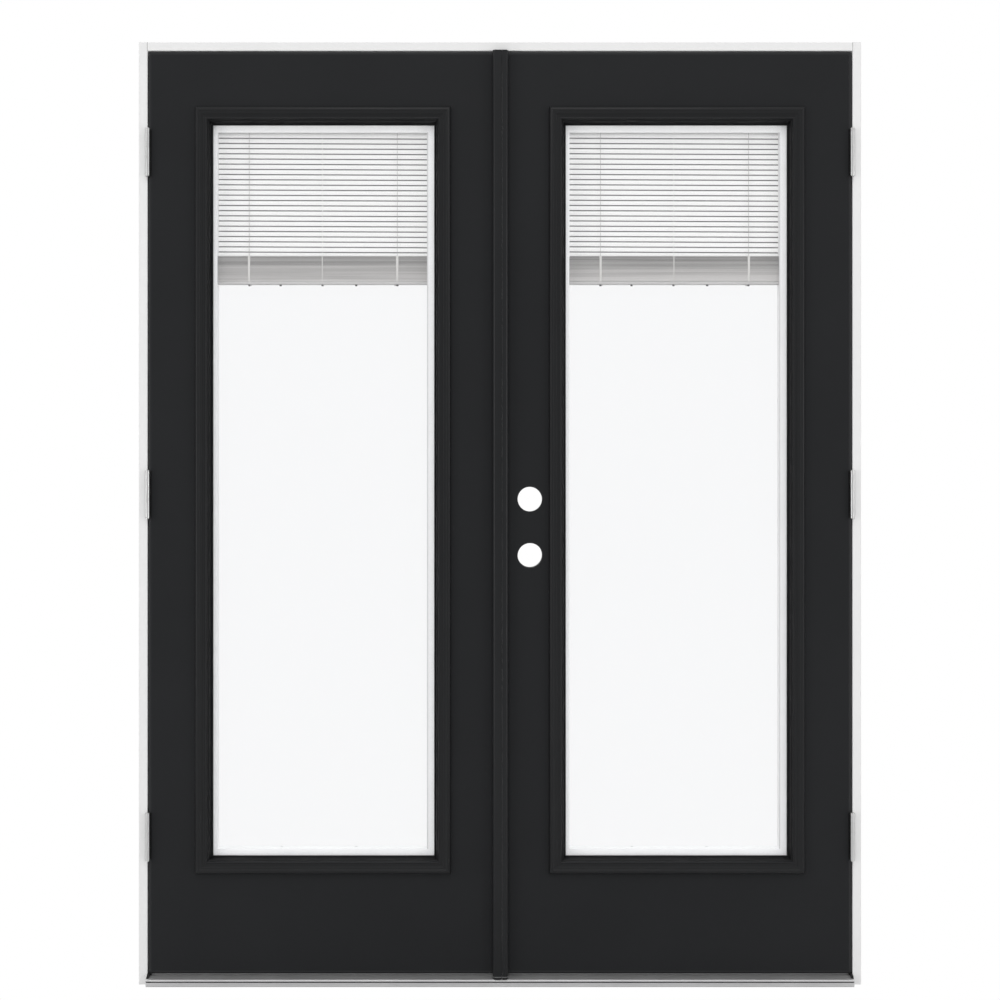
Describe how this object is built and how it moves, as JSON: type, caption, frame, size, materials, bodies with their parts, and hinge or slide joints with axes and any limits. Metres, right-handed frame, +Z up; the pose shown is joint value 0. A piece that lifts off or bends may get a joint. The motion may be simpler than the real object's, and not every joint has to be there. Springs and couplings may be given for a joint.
{
  "type": "french doors",
  "caption": "Outswing pair of glazed doors in a frame with sill, hung on butt hinges, with blinds sealed in the glass and bores for a lockset.",
  "frame": {"origin": "middle of the sill's underside, in the plane of the jambs' outer edge", "axes": "+X to the right seen from outside, +Y indoors, +Z up"},
  "size_m": [1.5748, 0.134, 2.054],
  "materials": {
    "frame_white": "white primed",
    "leaf_black": "satin black paint",
    "leaf_edge": "satin black paint",
    "foam": "foamed core",
    "moulding_black": "satin black paint",
    "astragal_black": "satin black paint",
    "glass": "clear",
    "spacer_white": "satin white",
    "blind_white": "satin white",
    "ladder_white": "woven",
    "track_white": "satin white",
    "hinge_nickel": "satin nickel",
    "sill_aluminium": "mill",
    "seal_black": "matt"
  },
  "bodies": {
    "frame": {"left_jamb": "frame_white", "right_jamb": "frame_white", "head_jamb": "frame_white", "door_stops": "frame_white", "sill_base": "sill_aluminium", "sill_deck": "sill_aluminium", "sill_riser": "sill_aluminium", "sill_riser_seal": "seal_black", "weatherstrips": "seal_black", "sill_corner_pads": "seal_black", "left_frame_hinge_leaves": "hinge_nickel", "right_frame_hinge_leaves": "hinge_nickel", "left_hinge_pins": "hinge_nickel", "right_hinge_pins": "hinge_nickel"},
    "left_leaf": {"left_exterior_skin": "leaf_black", "left_interior_skin": "leaf_black", "left_hinge_stile": "leaf_edge", "left_lock_stile": "leaf_edge", "left_top_rail": "leaf_edge", "left_bottom_rail": "leaf_edge", "left_foam_core": "foam", "left_lite_frame_exterior": "moulding_black", "left_lite_frame_interior": "moulding_black", "left_glass_exterior": "glass", "left_glass_interior": "glass", "left_glass_spacer": "spacer_white", "left_blind_headrail": "blind_white", "left_blind_slats": "blind_white", "left_blind_ladders": "ladder_white", "left_lift_track": "track_white", "left_door_hinge_leaves": "hinge_nickel", "left_astragal": "astragal_black", "left_bottom_sweep": "seal_black"},
    "left_blind_stack": {"left_blind_stack": "blind_white"},
    "left_blind_rail": {"left_blind_bottom_rail": "blind_white"},
    "left_slider": {"left_lift_slider": "track_white"},
    "right_leaf": {"right_exterior_skin": "leaf_black", "right_interior_skin": "leaf_black", "right_hinge_stile": "leaf_edge", "right_lock_stile": "leaf_edge", "right_top_rail": "leaf_edge", "right_bottom_rail": "leaf_edge", "right_foam_core": "foam", "right_lite_frame_exterior": "moulding_black", "right_lite_frame_interior": "moulding_black", "right_glass_exterior": "glass", "right_glass_interior": "glass", "right_glass_spacer": "spacer_white", "right_blind_headrail": "blind_white", "right_blind_slats": "blind_white", "right_blind_ladders": "ladder_white", "right_lift_track": "track_white", "right_door_hinge_leaves": "hinge_nickel", "right_astragal": "astragal_black", "right_bottom_sweep": "seal_black"},
    "right_blind_stack": {"right_blind_stack": "blind_white"},
    "right_blind_rail": {"right_blind_bottom_rail": "blind_white"},
    "right_slider": {"right_lift_slider": "track_white"},
    "top_bolt": {"top_flush_bolt": "hinge_nickel"},
    "bottom_bolt": {"bottom_flush_bolt": "hinge_nickel"}
  },
  "joints": [
    {"name": "left_leaf_swing", "type": "hinge", "parent": "frame", "child": "left_leaf", "pos_m": [-0.7668, -0.0065, 1.028], "axis": [0, 0, -1], "range_deg": [0, 165]},
    {"name": "left_blind_raise", "type": "slide", "parent": "left_leaf", "child": "left_blind_stack", "axis": [0, 0, 1], "range_m": [0, 0.256], "deforming": ["left_blind_slats", "left_blind_ladders"]},
    {"name": "left_blind_lower", "type": "slide", "parent": "left_blind_stack", "child": "left_blind_rail", "axis": [0, 0, 1], "range_m": [-1.23, 0], "deforming": ["left_blind_stack"]},
    {"name": "left_slider_travel", "type": "slide", "parent": "left_blind_stack", "child": "left_slider", "axis": [0, 0, 1], "range_m": [-1.23, 0]},
    {"name": "right_leaf_swing", "type": "hinge", "parent": "frame", "child": "right_leaf", "pos_m": [0.7668, -0.0065, 1.028], "axis": [0, 0, 1], "range_deg": [0, 165]},
    {"name": "right_blind_raise", "type": "slide", "parent": "right_leaf", "child": "right_blind_stack", "axis": [0, 0, 1], "range_m": [0, 0.256], "deforming": ["right_blind_slats", "right_blind_ladders"]},
    {"name": "right_blind_lower", "type": "slide", "parent": "right_blind_stack", "child": "right_blind_rail", "axis": [0, 0, 1], "range_m": [-1.23, 0], "deforming": ["right_blind_stack"]},
    {"name": "right_slider_travel", "type": "slide", "parent": "right_blind_stack", "child": "right_slider", "axis": [0, 0, 1], "range_m": [-1.23, 0]},
    {"name": "top_bolt_throw", "type": "slide", "parent": "left_leaf", "child": "top_bolt", "axis": [0, 0, 1], "range_m": [0, 0.015]},
    {"name": "bottom_bolt_throw", "type": "slide", "parent": "left_leaf", "child": "bottom_bolt", "axis": [0, 0, -1], "range_m": [0, 0.015]}
  ],
  "couplings": [
    {"joint": "left_slider_travel", "follows": "left_blind_lower", "ratio": 1},
    {"joint": "right_slider_travel", "follows": "right_blind_lower", "ratio": 1}
  ]
}
